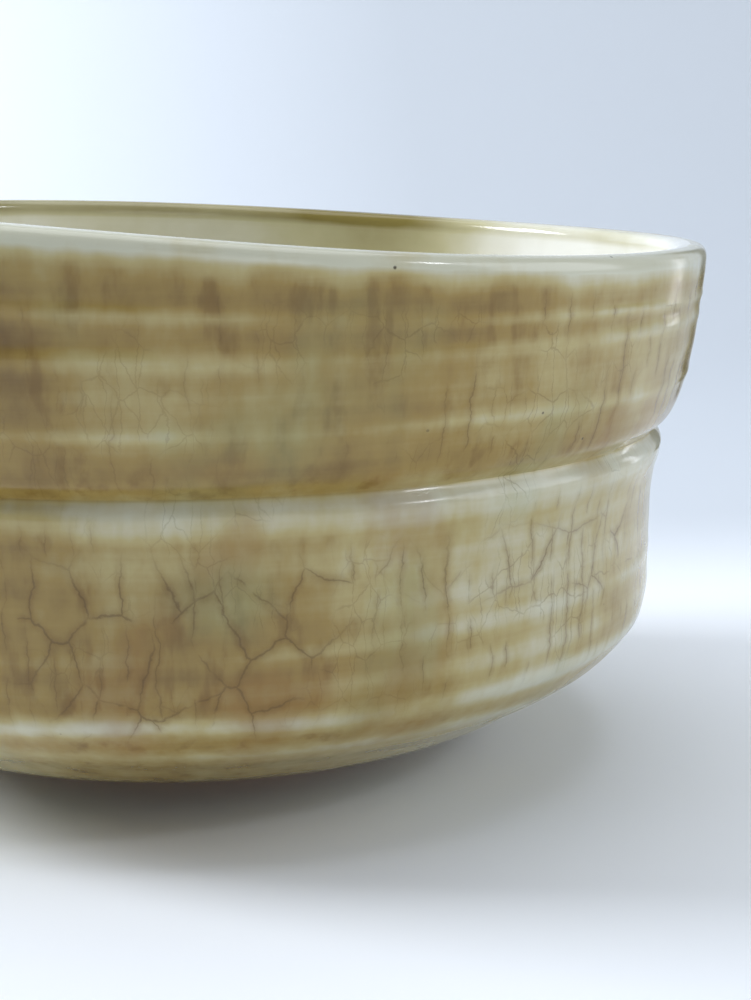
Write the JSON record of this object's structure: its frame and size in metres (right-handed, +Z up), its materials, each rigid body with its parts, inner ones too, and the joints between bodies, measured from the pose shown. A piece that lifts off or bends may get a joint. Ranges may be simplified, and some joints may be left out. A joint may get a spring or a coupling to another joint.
{
  "type": "tea bowl",
  "caption": "Round wheel-thrown ceramic tea bowl with a waisted wall, throwing rings, a sloping lip, a turned foot ring and a coat of glaze inside and out.",
  "frame": {"origin": "centre of the foot ring's resting face", "axes": "+Z up along the turning axis; the lip is lowest near +X and highest near -X; -Y is the front"},
  "size_m": [0.12, 0.12, 0.0646],
  "materials": {
    "stoneware": "bare fired clay, matt",
    "foot_clay": "turned bare fired clay, matt",
    "amber_glaze": "glossy crackled amber ash glaze",
    "cream_glaze": "glossy pale cream glaze"
  },
  "bodies": {
    "root": {"clay_body": "stoneware", "foot_ring": "foot_clay", "outer_glaze": "amber_glaze", "inner_glaze": "cream_glaze"}
  },
  "joints": []
}
